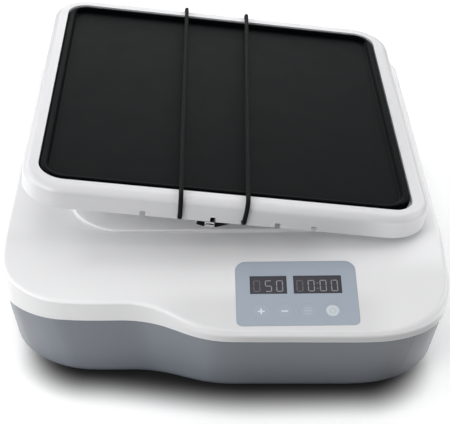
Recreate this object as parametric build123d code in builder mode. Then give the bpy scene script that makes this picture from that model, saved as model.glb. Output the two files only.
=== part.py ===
"""Rocking shaker: a moulded two-part housing with a sloping control deck, and a square
tilting platform carried on a shaft in two pedestals and rocked by a crank and fork.
Row frame: X right, Y back, Z up, millimetres, origin on the bench under the middle of
the object. The platform is drawn tilted to its right-hand limit."""

from build123d import *
from math import sin, cos, tan, radians, degrees, atan2, sqrt, pi
import os

os.makedirs("parts", exist_ok=True)

# ---------------------------------------------------------------- driving dimensions
TILT = 7.2              # platform tilt from level, degrees
YC = 35.0               # middle of the platform, front to back
PIVOT_Z = 116.0         # rocking axis above the bench
Z_BOT, Z_PART, Z_TOP = 7.0, 67.0, 104.0   # housing underside, parting line, flat deck
WALL = 3.0
DECK_SLOPE = 16.1       # control deck, degrees
DECK_Y0, DECK_Z0 = -212.0, 76.0           # a point on the sloping deck plane
PLAT = 340.0            # platform outside
RIM_W = 34.0            # platform rim above the rocking axis
SKIRT = 19.0            # platform skirt height
MAT = 312.0             # recess for the mat
CRANK_Z = 56.0
CRANK_R = (PIVOT_Z - CRANK_Z) * tan(radians(TILT))
MOTOR_X = 75.0
NOTCH_X = (-68.0, -37.6, -10.5, 14.6, 42.5, 72.5)       # along the front edge
NOTCH_BACK = (-68.0, -36.9, -5.8, 25.3, 56.4)            # along the back edge
TRAY_X = 1.2            # outer edge of the tray against the middle of the mat
CORD_D = 3.8

CHASSIS_Z = 14.0        # underside of the steel chassis
WELL_Z = 60.0           # seat of the cover screw heads

OVERHANG = 1.6          # cover edge outside the lower housing

# parting outline (edge of the cover) and foot outline: half width, rear, rear radius, front left, front right,
# start of the wave, wave angle, wave radius, slant of the right front in degrees, and for the two front
# corners the angles between their three tangent arcs and the radii of those arcs
TOPLINE = dict(hw=185.0, yr=207.2, rr=42.0, yl=-180.6, yf=-208.15, xs=-84.6, a=28.4, r=84.0, sk=1.25,
               l1=6.2, l2=44.7, lr1=290.0, lr2=68.4, lr3=40.5, r1=3.1, r2=25.5, rr1=285.0, rr2=88.6, rr3=50.8)
FOOTLINE = dict(hw=181.4, yr=203.7, rr=40.0, yl=-178.2, yf=-196.45, xs=-78.2, a=19.7, r=104.0, sk=0.9,
                l1=3.7, l2=48.5, lr1=290.0, lr2=78.4, lr3=64.0, r1=3.1, r2=25.5, rr1=285.0, rr2=80.0, rr3=66.0)
# rounded bottom edge of the housing: height above the underside, inset
BOTTOM_EDGE = ((0.0, 4.5), (0.9, 2.6), (2.2, 1.2), (4.0, 0.35), (6.0, 0.0))


def mix(z):
    """Outline at height z, between the foot line and the parting line, and its distance inside that line."""
    t = (z - Z_BOT) / (Z_PART - Z_BOT)
    return {k: FOOTLINE[k] + (TOPLINE[k] - FOOTLINE[k]) * t for k in TOPLINE}, OVERHANG * t


def corner_arcs(turns, radii, inset):
    """Start, middle and end of each arc of a corner that turns from turns[0] to turns[-1] degrees, drawn
    inwards by inset, and the end of the corner before the inset. The corner starts at (0, 0)."""
    x, y, pts = 0.0, 0.0, []
    for k, r in enumerate(radii):
        a0, a1 = radians(turns[k]), radians(turns[k + 1])
        cx, cy = x - r * sin(a0), y + r * cos(a0)
        pts.append([(cx + (r - inset) * sin(a), cy - (r - inset) * cos(a)) for a in (a0, (a0 + a1) / 2, a1)])
        x, y = cx + r * sin(a1), cy - r * cos(a1)
    return pts, (x, y)


def outline(o, inset=0.0):
    """Wavy-fronted housing outline as edges, moved inwards by inset."""
    t = inset
    hw, yr, rb = o["hw"], o["yr"] - t, o["rr"] - t
    a, b, r, xs = radians(o["a"]), radians(o["sk"]), o["r"], o["xs"]
    drop = o["yl"] - o["yf"]
    ls = (drop - 2 * r * (1 - cos(a))) / sin(a)
    x2 = xs + 2 * r * sin(a) + ls * cos(a)
    c1, c2 = (xs, o["yl"] - r), (x2, o["yf"] + r)
    r1, r2 = r + t, r - t

    def on(c, rad, ang):
        return (c[0] + rad * cos(ang), c[1] + rad * sin(ang))

    left, end_l = corner_arcs((0.0, o["l1"], o["l2"], 90.0), (o["lr1"], o["lr2"], o["lr3"]), t)
    left = [[(-(hw - end_l[0] + x), o["yl"] + y) for x, y in arc] for arc in left]
    right, end_r = corner_arcs((-o["sk"], o["r1"], o["r2"], 90.0), (o["rr1"], o["rr2"], o["rr3"]), t)
    p4_full = on(c2, r, -pi / 2 - b)
    x0 = hw - end_r[0]
    y0 = p4_full[1] - (x0 - p4_full[0]) * tan(b)
    right = [[(x0 + x, y0 + y) for x, y in arc] for arc in right]
    p1, p2 = (xs, o["yl"] + t), on(c1, r1, pi / 2 - a)
    p3, p4 = on(c2, r2, -pi / 2 - a), on(c2, r2, -pi / 2 - b)
    Line(left[0][0], p1)
    ThreePointArc(p1, on(c1, r1, (pi - a) / 2), p2)
    Line(p2, p3)
    ThreePointArc(p3, on(c2, r2, -(pi + a + b) / 2), p4)
    Line(p4, right[0][0])
    for arc in right:
        ThreePointArc(*arc)
    hw -= t
    Line(right[-1][2], (hw, yr - rb))
    ThreePointArc((hw, yr - rb), on((hw - rb, yr - rb), rb, pi / 4), (hw - rb, yr))
    Line((hw - rb, yr), (-hw + rb, yr))
    ThreePointArc((-hw + rb, yr), on((-hw + rb, yr - rb), rb, 3 * pi / 4), (-hw, yr - rb))
    Line((-hw, yr - rb), left[-1][2])
    for arc in reversed(left):
        ThreePointArc(arc[2], arc[1], arc[0])


def save(part, name, place=None):
    """Moves a finished piece to its place, names it and writes it."""
    done = part if place is None else part.moved(place)
    done.label = name
    export_step(done, f"parts/{name}.step")
    return done


# local frames: the tilted platform about the rocking axis, and the sloping deck
s_, c_ = sin(radians(TILT)), cos(radians(TILT))
PLATFORM = Plane(origin=(0, YC, PIVOT_Z), x_dir=(c_, 0, -s_), z_dir=(s_, 0, c_)).location
ds, dc = sin(radians(DECK_SLOPE)), cos(radians(DECK_SLOPE))
DECK_PLANE = Plane(origin=(0, DECK_Y0, DECK_Z0), x_dir=(1, 0, 0), z_dir=(0, -ds, dc))
DECK = DECK_PLANE.location
CREASE_Y = DECK_Y0 + (Z_TOP - DECK_Z0) / tan(radians(DECK_SLOPE))

POSTS = ((150, -163), (-146, -138), (171, 25), (-171, 25), (155, 176), (-155, 176))
FEET = ((138, -142), (-128, -120), (145, 156), (-145, 156))
CHASSIS_SCREWS = ((132, -112), (-132, -100), (132, 22), (-132, 22), (120, 152), (-120, 152))

# ---------------------------------------------------------------- lower housing
with BuildPart() as lower_cavity:
    for z0, z1 in ((Z_BOT + WALL, Z_PART),):
        with BuildSketch(Plane.XY.offset(z0)):
            with BuildLine():
                outline(mix(z0)[0], mix(z0)[1] + WALL)
            make_face()
        with BuildSketch(Plane.XY.offset(z1)):
            with BuildLine():
                outline(TOPLINE, WALL + OVERHANG)
            make_face()
        loft(ruled=True)
    # posts for the cover screws, bosses for the steel chassis
    with BuildSketch(Plane.XY.offset(Z_BOT + WALL)):
        with Locations(*POSTS):
            Circle(6)
    extrude(amount=Z_PART - Z_BOT - WALL, mode=Mode.SUBTRACT)
    with BuildSketch(Plane.XY.offset(Z_BOT + WALL)):
        with Locations(*CHASSIS_SCREWS):
            Circle(7)
    extrude(amount=CHASSIS_Z - Z_BOT - WALL, mode=Mode.SUBTRACT)
    # thick pad behind the power inlet and switch
    with BuildSketch(Plane.XY.offset(20)):
        with Locations((94, 206)):
            Rectangle(106, 8)
    extrude(amount=34, mode=Mode.SUBTRACT)

with BuildPart() as lower_housing:
    for up, step_in in BOTTOM_EDGE:
        with BuildSketch(Plane.XY.offset(Z_BOT + up)):
            with BuildLine():
                outline(mix(Z_BOT + up)[0], mix(Z_BOT + up)[1] + step_in)
            make_face()
    with BuildSketch(Plane.XY.offset(Z_PART)):
        with BuildLine():
            outline(TOPLINE, OVERHANG)
        make_face()
    loft(ruled=True)
    add(lower_cavity.part, mode=Mode.SUBTRACT)
    # flat pad outside for the inlet and switch
    with BuildSketch(Plane.XZ.offset(-207.2)):
        with Locations((94, 37)):
            RectangleRounded(104, 32, 3)
    extrude(amount=4.0)
    with BuildSketch(Plane.XZ.offset(-210)):
        with Locations((120, 37)):
            Rectangle(28.4, 20.4)
        with Locations((70, 37)):
            Rectangle(27.4, 13.4)
    extrude(amount=12.0, mode=Mode.SUBTRACT)
    # screw wells, chassis screw holes, foot holes
    with BuildSketch(Plane.XY.offset(Z_BOT - 1)):
        with Locations(*POSTS):
            Circle(4.3)
    extrude(amount=WELL_Z - Z_BOT + 1, mode=Mode.SUBTRACT)
    with BuildSketch(Plane.XY.offset(Z_BOT - 1)):
        with Locations(*POSTS):
            Circle(2.2)
    extrude(amount=Z_PART - Z_BOT + 3, mode=Mode.SUBTRACT)
    with BuildSketch(Plane.XY.offset(CHASSIS_Z - 4.4)):
        with Locations(*CHASSIS_SCREWS):
            Circle(2.05)
    extrude(amount=6, mode=Mode.SUBTRACT)
    with BuildSketch(Plane.XY.offset(Z_BOT - 1)):
        with Locations(*FEET):
            Circle(2.05)
    extrude(amount=6, mode=Mode.SUBTRACT)
    # cooling slots in the floor
    with BuildSketch(Plane.XY.offset(Z_BOT - 1)):
        with Locations((-95, 188), (-75, 188), (-55, 188), (-35, 188)):
            SlotOverall(14, 2.4, rotation=90)
    extrude(amount=6, mode=Mode.SUBTRACT)
save(lower_housing.part, "lower_housing")

# ---------------------------------------------------------------- top cover
with BuildPart() as cover_cavity:
    with BuildSketch(Plane.XY.offset(Z_PART)):
        with BuildLine():
            outline(TOPLINE, WALL)
        make_face()
    extrude(amount=45)
    with BuildSketch(Plane.YZ.offset(-200)) as cut_in:
        with BuildLine():
            Polyline((-240, DECK_Z0 + (-240 - DECK_Y0) * tan(radians(DECK_SLOPE)) - WALL / dc), (CREASE_Y, Z_TOP - WALL),
                     (230, Z_TOP - WALL), (230, 130), (-240, 130), close=True)
        make_face()
        fillet(cut_in.vertices().sort_by_distance((CREASE_Y, Z_TOP - WALL, 0))[0], 70)
    extrude(amount=400, mode=Mode.SUBTRACT)
    # hollow under the raised plateau
    with BuildSketch(Plane.XY.offset(Z_TOP - WALL - 0.01)):
        with Locations((0, YC)):
            RectangleRounded(256, 288, 45)
    extrude(amount=3.01)
    # solid bosses under the deck for the cover screws
    with BuildSketch(Plane.XY.offset(Z_PART)):
        with Locations(*POSTS):
            Circle(6)
    extrude(amount=50, mode=Mode.SUBTRACT)
    # bosses for the display board
    with BuildSketch(DECK_PLANE.offset(-8.2)):
        with Locations((10.5, 13), (107.3, 13), (10.5, 71), (107.3, 71)):
            Circle(3.5)
    extrude(amount=8, mode=Mode.SUBTRACT)

with BuildPart() as top_cover:
    with BuildSketch(Plane.XY.offset(Z_PART)):
        with BuildLine():
            outline(TOPLINE)
        make_face()
    extrude(amount=45)
    fillet(top_cover.faces().sort_by(Axis.Z)[0].outer_wire().edges(), 0.8)
    with BuildSketch(Plane.YZ.offset(-200)) as cut_out:
        with BuildLine():
            Polyline((-240, DECK_Z0 + (-240 - DECK_Y0) * tan(radians(DECK_SLOPE))), (CREASE_Y, Z_TOP),
                     (230, Z_TOP), (230, 130), (-240, 130), close=True)
        make_face()
        fillet(cut_out.vertices().sort_by_distance((CREASE_Y, Z_TOP, 0))[0], 70)
    extrude(amount=400, mode=Mode.SUBTRACT)
    rim_edges = [e for e in top_cover.edges()
                 if min(v.Z for v in e.vertices()) > Z_PART + 4
                 and not (e.length > 300 and abs(e.tangent_at(0.5).X) > 0.99 and abs(e.center().Y) < 180)]
    fillet(rim_edges, 4.5)
    # raised plateau under the platform
    with BuildSketch(Plane.XY.offset(Z_TOP - 2)):
        with Locations((0, YC)):
            RectangleRounded(262, 294, 48)
    plateau = extrude(amount=5)
    fillet(top_cover.faces().sort_by(Axis.Z)[-1].outer_wire().edges(), 1.6)
    add(cover_cavity.part, mode=Mode.SUBTRACT)
    # openings for the pedestals and shaft, and for the drive fork
    with BuildSketch(Plane.XY.offset(Z_TOP - 8)):
        with Locations((0, -53.5)):
            RectangleRounded(50, 65, 4)
        with Locations((0, 123.5)):
            RectangleRounded(50, 65, 4)
        with Locations((0, YC)):
            RectangleRounded(38, 15, 4)
    extrude(amount=20, mode=Mode.SUBTRACT)
    # shallow seat and window for the control panel
    with BuildSketch(DECK_PLANE.offset(-0.8)) as seat:
        with Locations((58.9, 41.4)):
            Rectangle(99.0, 62.8)
        fillet(seat.vertices().group_by(Axis.Y)[0], 5.2)
        fillet(seat.vertices().group_by(Axis.Y)[-1], 9.2)
    extrude(amount=4, mode=Mode.SUBTRACT)
    with BuildSketch(DECK_PLANE.offset(-8)):
        with Locations((58.9, 41.3)):
            RectangleRounded(89, 54, 3)
    extrude(amount=10, mode=Mode.SUBTRACT)
    # screw holes
    with BuildSketch(Plane.XY.offset(Z_PART - 1)):
        with Locations(*POSTS):
            Circle(2.05)
    extrude(amount=12, mode=Mode.SUBTRACT)
    with BuildSketch(DECK_PLANE.offset(-9)):
        with Locations((10.5, 13), (107.3, 13), (10.5, 71), (107.3, 71)):
            Circle(1.3)
    extrude(amount=7, mode=Mode.SUBTRACT)
    # locating tongue inside the lower housing's wall, in stretches between the posts
    for z0, h, t0 in ((Z_PART - 3, 3.0, WALL + OVERHANG + 1.3), (Z_PART, 1.8, 2.5)):
        with BuildSketch(Plane.XY.offset(z0)) as tongue:
            with BuildLine():
                outline(TOPLINE, t0)
            make_face()
            with BuildLine():
                outline(TOPLINE, WALL + OVERHANG + 3.3)
            make_face(mode=Mode.SUBTRACT)
            with Locations(*POSTS):
                Circle(10, mode=Mode.SUBTRACT)
        extrude(amount=h)
save(top_cover.part, "top_cover")

# ---------------------------------------------------------------- feet and housing screws
with BuildPart() as rubber_feet:
    with BuildSketch(Plane.XY):
        with Locations(*FEET):
            Circle(11.5)
    extrude(amount=Z_BOT, taper=-8)
    with BuildSketch(Plane.XY):
        with Locations(*FEET):
            Circle(4.6)
    extrude(amount=4.2, mode=Mode.SUBTRACT)
    with BuildSketch(Plane.XY):
        with Locations(*FEET):
            Circle(2.2)
    extrude(amount=Z_BOT, mode=Mode.SUBTRACT)
save(rubber_feet.part, "rubber_feet")


def screw(at, z_head, head_r, head_h, shank_r, length, up=True):
    """Pan-head screw standing along Z inside the current builder: head at z_head, shank running up or down."""
    with BuildPart() as made:
        sgn = 1 if up else -1
        with BuildSketch(Plane.XY.offset(z_head)):
            with Locations(*at):
                Circle(head_r)
        extrude(amount=-sgn * head_h)
        with BuildSketch(Plane.XY.offset(z_head)):
            with Locations(*at):
                Circle(shank_r)
        extrude(amount=sgn * length)
        with BuildSketch(Plane.XY.offset(z_head - sgn * head_h)):
            with Locations(*at):
                Rectangle(head_r * 1.1, 0.8)
                Rectangle(0.8, head_r * 1.1)
        extrude(amount=sgn * head_h * 0.5, mode=Mode.SUBTRACT)
    return made.part


with BuildPart() as foot_screws:
    add(screw(FEET, 4.2, 4.0, 2.4, 2.0, 8.0))
save(foot_screws.part, "foot_screws")

with BuildPart() as cover_screws:
    add(screw(POSTS, WELL_Z, 4.0, 2.6, 2.0, 16.0))
save(cover_screws.part, "cover_screws")

# ---------------------------------------------------------------- chassis
with BuildPart() as chassis_plate:
    with BuildSketch(Plane.XY.offset(CHASSIS_Z)) as cp:
        with Locations((0, 21)):
            Rectangle(294, 288)
        fillet(cp.vertices(), 24)
        with Locations((-95, -70), (95, -70)):
            Circle(26, mode=Mode.SUBTRACT)
        with Locations(*CHASSIS_SCREWS):
            Circle(2.3, mode=Mode.SUBTRACT)
    extrude(amount=3)
    with BuildSketch(Plane.XY.offset(13)):
        for y in (-65, 135):
            with Locations((0, y)):
                with GridLocations(44, 23, 2, 2):
                    Circle(2.05)
        with Locations((0, 11)):
            with GridLocations(64, 12, 2, 2):
                Circle(2.05)
        with Locations((MOTOR_X, 22)):
            with GridLocations(36, 20, 2, 2):
                Circle(2.05)
        with Locations((-92.5, 105)):
            with GridLocations(85, 80, 2, 2):
                Circle(1.55)
        with Locations((92.5, 130)):
            with GridLocations(80, 56, 2, 2):
                Circle(1.55)
    extrude(amount=5, mode=Mode.SUBTRACT)
save(chassis_plate.part, "chassis_plate")

with BuildPart() as chassis_screws:
    add(screw(CHASSIS_SCREWS, 17.0, 4.0, 2.6, 2.0, 7.0, up=False))
save(chassis_screws.part, "chassis_screws")

# ---------------------------------------------------------------- pedestals and bearings


def pedestal_body(y0, inner):
    """Cast pedestal standing on the chassis, 14 thick, with a bearing seat open towards `inner` (+1 rearwards)."""
    with BuildPart() as made:
        with BuildSketch(Plane.XZ.offset(-(y0 + 7))):
            with BuildLine():
                Polyline((-26, 17), (26, 17), (26, 22), (17, 40), (17, PIVOT_Z), (-17, PIVOT_Z), (-17, 40), (-26, 22), close=True)
            make_face()
            with Locations((0, PIVOT_Z)):
                Circle(17)
        extrude(amount=14)
        with BuildSketch(Plane.XY.offset(17)):
            with Locations((0, y0)):
                RectangleRounded(58, 34, 3)
        extrude(amount=6)
        with BuildSketch(Plane.XZ.offset(-(y0 + 8))):
            with Locations((0, PIVOT_Z)):
                Circle(10)
            with Locations((0, 62)):
                SlotOverall(50, 16, rotation=90)
        extrude(amount=16, mode=Mode.SUBTRACT)
        face_y = y0 + 7 if inner > 0 else y0 - 7
        with BuildSketch(Plane.XZ.offset(-face_y)):
            with Locations((0, PIVOT_Z)):
                Circle(14.02)
        extrude(amount=8.2 * inner, mode=Mode.SUBTRACT)
        with BuildSketch(Plane.XY.offset(17)):
            with Locations((0, y0)):
                with GridLocations(44, 23, 2, 2):
                    Circle(2.3)
        extrude(amount=6, mode=Mode.SUBTRACT)
    return made.part


with BuildPart() as front_pedestal:
    add(pedestal_body(-65, 1))
save(front_pedestal.part, "front_pedestal")
with BuildPart() as rear_pedestal:
    add(pedestal_body(135, -1))
save(rear_pedestal.part, "rear_pedestal")

with BuildPart() as pedestal_screws:
    pts = [(x, y + dy) for y in (-65, 135) for x in (-22, 22) for dy in (-11.5, 11.5)]
    add(screw(pts, 23.0, 3.9, 2.6, 2.0, 8.6, up=False))
save(pedestal_screws.part, "pedestal_screws")


def bearing(x, y0, z, od, bore, w):
    """Ball bearing along Y from y0 to y0 + w, with a dished face each side."""
    with BuildPart() as made:
        with BuildSketch(Plane.XZ.offset(-(y0 + w))):
            with Locations((x, z)):
                Circle(od / 2)
                Circle(bore / 2, mode=Mode.SUBTRACT)
        extrude(amount=w)
        for yy, a in ((y0 + w, 0.6), (y0, -0.6)):
            with BuildSketch(Plane.XZ.offset(-yy)):
                with Locations((x, z)):
                    Circle(od / 2 - 2.6)
                    Circle(bore / 2 + 2.2, mode=Mode.SUBTRACT)
            extrude(amount=a, mode=Mode.SUBTRACT)
    return made.part


with BuildPart() as pivot_bearings:
    add(bearing(0, -66.1, PIVOT_Z, 28.0, 12.1, 8.0))
    add(bearing(0, 128.1, PIVOT_Z, 28.0, 12.1, 8.0))
save(pivot_bearings.part, "pivot_bearings")

# ---------------------------------------------------------------- crank and drive
with BuildPart() as crank_block:
    with BuildSketch(Plane.XZ.offset(-22)):
        with BuildLine():
            Polyline((-20, 17), (20, 17), (20, CRANK_Z), (-20, CRANK_Z), close=True)
        make_face()
        with Locations((0, CRANK_Z)):
            Circle(20)
    extrude(amount=22)
    with BuildSketch(Plane.XY.offset(17)):
        with Locations((0, 11)):
            Rectangle(78, 22)
    extrude(amount=7)
    with BuildSketch(Plane.XZ.offset(-22)):
        with Locations((0, CRANK_Z)):
            Circle(10.5)
    extrude(amount=22, mode=Mode.SUBTRACT)
    for y, a in ((22, 8.2), (0, -8.2)):
        with BuildSketch(Plane.XZ.offset(-y)):
            with Locations((0, CRANK_Z)):
                Circle(13.02)
        extrude(amount=a, mode=Mode.SUBTRACT)
    with BuildSketch(Plane.XY.offset(17)):
        with Locations((0, 11)):
            with GridLocations(64, 12, 2, 2):
                Circle(2.3)
    extrude(amount=7, mode=Mode.SUBTRACT)
save(crank_block.part, "crank_block")

with BuildPart() as crank_block_screws:
    add(screw([(x, y) for x in (-32, 32) for y in (5, 17)], 24.0, 3.9, 2.6, 2.0, 9.6, up=False))
save(crank_block_screws.part, "crank_block_screws")

with BuildPart() as crank_bearings:
    add(bearing(0, 0.1, CRANK_Z, 26.0, 10.1, 8.0))
    add(bearing(0, 13.9, CRANK_Z, 26.0, 10.1, 8.0))
save(crank_bearings.part, "crank_bearings")

with BuildPart() as crank_shaft:
    with BuildSketch(Plane.XZ.offset(-24)):
        with Locations((0, CRANK_Z)):
            Circle(5)
    extrude(amount=44)
    with BuildSketch(Plane.XZ.offset(-29.5)) as disc:
        with Locations((0, CRANK_Z)):
            Circle(17)
        with Locations((-CRANK_R, CRANK_Z)):
            Circle(3.02, mode=Mode.SUBTRACT)
    extrude(amount=5.5)
    chamfer(crank_shaft.faces().filter_by(Axis.Y).sort_by(Axis.Y)[-1].outer_wire().edges(), 0.6)
save(crank_shaft.part, "crank_shaft")

with BuildPart() as crank_pin:
    with BuildSketch(Plane.XZ.offset(-41)):
        with Locations((-CRANK_R, CRANK_Z)):
            Circle(3)
    extrude(amount=17)
    with BuildSketch(Plane.XZ.offset(-41)):
        with Locations((-CRANK_R, CRANK_Z)):
            Circle(4.6)
    extrude(amount=1.4)
save(crank_pin.part, "crank_pin")

with BuildPart() as cam_roller:
    add(bearing(-CRANK_R, 31.0, CRANK_Z, 16.0, 6.1, 8.0))
save(cam_roller.part, "cam_roller")


def pulley(x, z, r, flange, bore):
    """Flanged pulley along Y, from -17 to -4."""
    with BuildPart() as made:
        with BuildSketch(Plane.XZ.offset(4)):
            with Locations((x, z)):
                Circle(flange)
        extrude(amount=1.5)
        with BuildSketch(Plane.XZ.offset(5.5)):
            with Locations((x, z)):
                Circle(r)
        extrude(amount=10)
        with BuildSketch(Plane.XZ.offset(15.5)):
            with Locations((x, z)):
                Circle(flange)
        extrude(amount=1.5)
        with BuildSketch(Plane.XZ.offset(4)):
            with Locations((x, z)):
                Circle(bore)
        extrude(amount=13, mode=Mode.SUBTRACT)
    return made.part


with BuildPart() as crank_pulley:
    add(pulley(0, CRANK_Z, 24.0, 27.0, 5.02))
    with BuildSketch(Plane.XZ.offset(4)):
        with PolarLocations(15, 6):
            pass
        with Locations((0, CRANK_Z)):
            with PolarLocations(15, 6):
                Circle(4)
    extrude(amount=13, mode=Mode.SUBTRACT)
save(crank_pulley.part, "crank_pulley")

with BuildPart() as motor_pulley:
    add(pulley(MOTOR_X, CRANK_Z, 8.0, 11.0, 3.02))
save(motor_pulley.part, "motor_pulley")

with BuildPart() as motor_shaft:
    with BuildSketch(Plane.XZ.offset(-12)):
        with Locations((MOTOR_X, CRANK_Z)):
            Circle(3)
    extrude(amount=31)
save(motor_shaft.part, "motor_shaft")

# open belt round both pulleys
belt_a = degrees(atan2(24.0 - 8.0, sqrt(MOTOR_X**2 - 16.0**2)))


def belt_loop(rb, rm):
    """Outline of a belt loop at radius rb round the crank pulley and rm round the motor pulley."""
    al = radians(90) - radians(belt_a)
    p1 = (rb * cos(al), CRANK_Z + rb * sin(al))
    p2 = (MOTOR_X + rm * cos(al), CRANK_Z + rm * sin(al))
    p3 = (MOTOR_X + rm * cos(al), CRANK_Z - rm * sin(al))
    p4 = (rb * cos(al), CRANK_Z - rb * sin(al))
    Line(p1, p2)
    ThreePointArc(p2, (MOTOR_X + rm, CRANK_Z), p3)
    Line(p3, p4)
    ThreePointArc(p4, (-rb, CRANK_Z), p1)


with BuildPart() as drive_belt:
    with BuildSketch(Plane.XZ.offset(6)):
        with BuildLine():
            belt_loop(26.1, 10.1)
        make_face()
        with BuildLine():
            belt_loop(24.3, 8.3)
        make_face(mode=Mode.SUBTRACT)
    extrude(amount=9)
save(drive_belt.part, "drive_belt")

with BuildPart() as motor_bracket:
    with BuildSketch(Plane.XZ.offset(-4)) as mb:
        with Locations((MOTOR_X, 49)):
            Rectangle(50, 58)
        fillet(mb.vertices().group_by(Axis.Y)[-1], 8)
    extrude(amount=3)
    with BuildSketch(Plane.XY.offset(20)):
        with Locations((MOTOR_X, 20)):
            Rectangle(50, 38)
    extrude(amount=3)
    with BuildSketch(Plane.XZ.offset(-4)):
        with Locations((MOTOR_X, CRANK_Z)):
            Circle(6.2)
            with PolarLocations(14, 4, start_angle=45):
                Circle(1.6)
    extrude(amount=3, mode=Mode.SUBTRACT)
    with BuildSketch(Plane.XY.offset(17)):
        with Locations((MOTOR_X, 22)):
            with GridLocations(36, 20, 2, 2):
                Circle(2.3)
    extrude(amount=6, mode=Mode.SUBTRACT)
    with BuildSketch(Plane.XY.offset(17)):
        with Locations((MOTOR_X, 20)):
            Rectangle(50, 38)
    extrude(amount=3)
    with BuildSketch(Plane.XY.offset(16)):
        with Locations((MOTOR_X, 22)):
            with GridLocations(36, 20, 2, 2):
                Circle(2.3)
    extrude(amount=8, mode=Mode.SUBTRACT)
save(motor_bracket.part, "motor_bracket")

with BuildPart() as gearbox:
    with BuildSketch(Plane.XZ.offset(-34)):
        with Locations((MOTOR_X, CRANK_Z)):
            Circle(18)
    extrude(amount=30)
    with BuildSketch(Plane.XZ.offset(-4)):
        with Locations((MOTOR_X, CRANK_Z)):
            Circle(6)
    extrude(amount=2.5)
    with BuildSketch(Plane.XZ.offset(-13)):
        with Locations((MOTOR_X, CRANK_Z)):
            Circle(3.06)
    extrude(amount=13, mode=Mode.SUBTRACT)
    with BuildSketch(Plane.XZ.offset(-9)):
        with Locations((MOTOR_X, CRANK_Z)):
            with PolarLocations(14, 4, start_angle=45):
                Circle(1.52)
    extrude(amount=5, mode=Mode.SUBTRACT)
save(gearbox.part, "gearbox")

with BuildPart() as drive_motor:
    with BuildSketch(Plane.XZ.offset(-76)):
        with Locations((MOTOR_X, CRANK_Z)):
            Circle(17.5)
    extrude(amount=42)
    with BuildSketch(Plane.XZ.offset(-80)):
        with Locations((MOTOR_X, CRANK_Z)):
            Circle(9)
    extrude(amount=4)
    fillet(drive_motor.edges().filter_by(GeomType.CIRCLE).group_by(Axis.Y)[-2], 1.0)
save(drive_motor.part, "drive_motor")

with BuildPart() as motor_screws:
    with BuildSketch(Plane.XZ.offset(-1)):
        with Locations((MOTOR_X, CRANK_Z)):
            with PolarLocations(14, 4, start_angle=45):
                Circle(2.7)
    extrude(amount=2)
    with BuildSketch(Plane.XZ.offset(-8.5)):
        with Locations((MOTOR_X, CRANK_Z)):
            with PolarLocations(14, 4, start_angle=45):
                Circle(1.5)
    extrude(amount=7.5)
    add(screw([(MOTOR_X + x, 22 + y) for x in (-18, 18) for y in (-10, 10)], 23.0, 3.9, 2.6, 2.0, 8.6, up=False))
save(motor_screws.part, "motor_screws")

# ---------------------------------------------------------------- electronics
with BuildPart() as control_board:
    with BuildSketch(Plane.XY.offset(27)):
        with Locations((-92.5, 105)):
            RectangleRounded(95, 90, 2)
            with GridLocations(85, 80, 2, 2):
                Circle(1.6, mode=Mode.SUBTRACT)
    extrude(amount=1.6)
save(control_board.part, "control_board")

with BuildPart() as board_standoffs:
    for cx0, cy0, gx, gy, top in ((-92.5, 105, 85, 80, 27), (92.5, 130, 80, 56, 21)):
        with BuildSketch(Plane.XY.offset(17)):
            with Locations((cx0, cy0)):
                with GridLocations(gx, gy, 2, 2):
                    RegularPolygon(3.2, 6)
                    Circle(1.52, mode=Mode.SUBTRACT)
        extrude(amount=top - 17)
save(board_standoffs.part, "board_standoffs")

with BuildPart() as board_screws:
    add(screw([(-92.5 + x, 105 + y) for x in (-42.5, 42.5) for y in (-40, 40)], 28.6, 2.8, 1.8, 1.45, 7.0, up=False))
    add(screw([(92.5 + x, 130 + y) for x in (-40, 40) for y in (-28, 28)], 23.0, 2.8, 1.8, 1.45, 5.5, up=False))
save(board_screws.part, "board_screws")

with BuildPart() as board_components:
    with BuildSketch(Plane.XY.offset(28.6)):
        with Locations((-100, 100)):
            Rectangle(14, 14)
        with Locations((-118, 80), (-78, 128)):
            Rectangle(10, 6)
    extrude(amount=2)
    with BuildSketch(Plane.XY.offset(28.6)):
        with Locations((-120, 130), (-108, 130), (-120, 118)):
            Circle(5)
    extrude(amount=14)
    with BuildSketch(Plane.XY.offset(28.6)):
        with Locations((-60, 132)):
            Rectangle(12, 26)
        with Locations((-92, 70), (-54, 88)):
            Rectangle(12, 8)
    extrude(amount=8)
    with BuildSketch(Plane.XY.offset(36.6)):
        with Locations((-60, 132)):
            with GridLocations(0, 6, 1, 4):
                Rectangle(12, 2)
    extrude(amount=10)
save(board_components.part, "board_components")

with BuildPart() as power_supply:
    with BuildSketch(Plane.XY.offset(23)) as ps:
        with Locations((92.5, 130)):
            Rectangle(70, 60)
    extrude(amount=28)
    fillet(power_supply.edges().filter_by(Axis.Z), 2)
    with BuildSketch(Plane.XY.offset(21)):
        with Locations((92.5, 130)):
            RectangleRounded(92, 66, 3)
            with GridLocations(80, 56, 2, 2):
                Circle(1.6, mode=Mode.SUBTRACT)
    extrude(amount=2)
    with BuildSketch(Plane.XY.offset(49)):
        with Locations((92.5, 130)):
            with GridLocations(8, 0, 7, 1):
                SlotOverall(44, 3, rotation=90)
    extrude(amount=2, mode=Mode.SUBTRACT)
save(power_supply.part, "power_supply")

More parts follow.
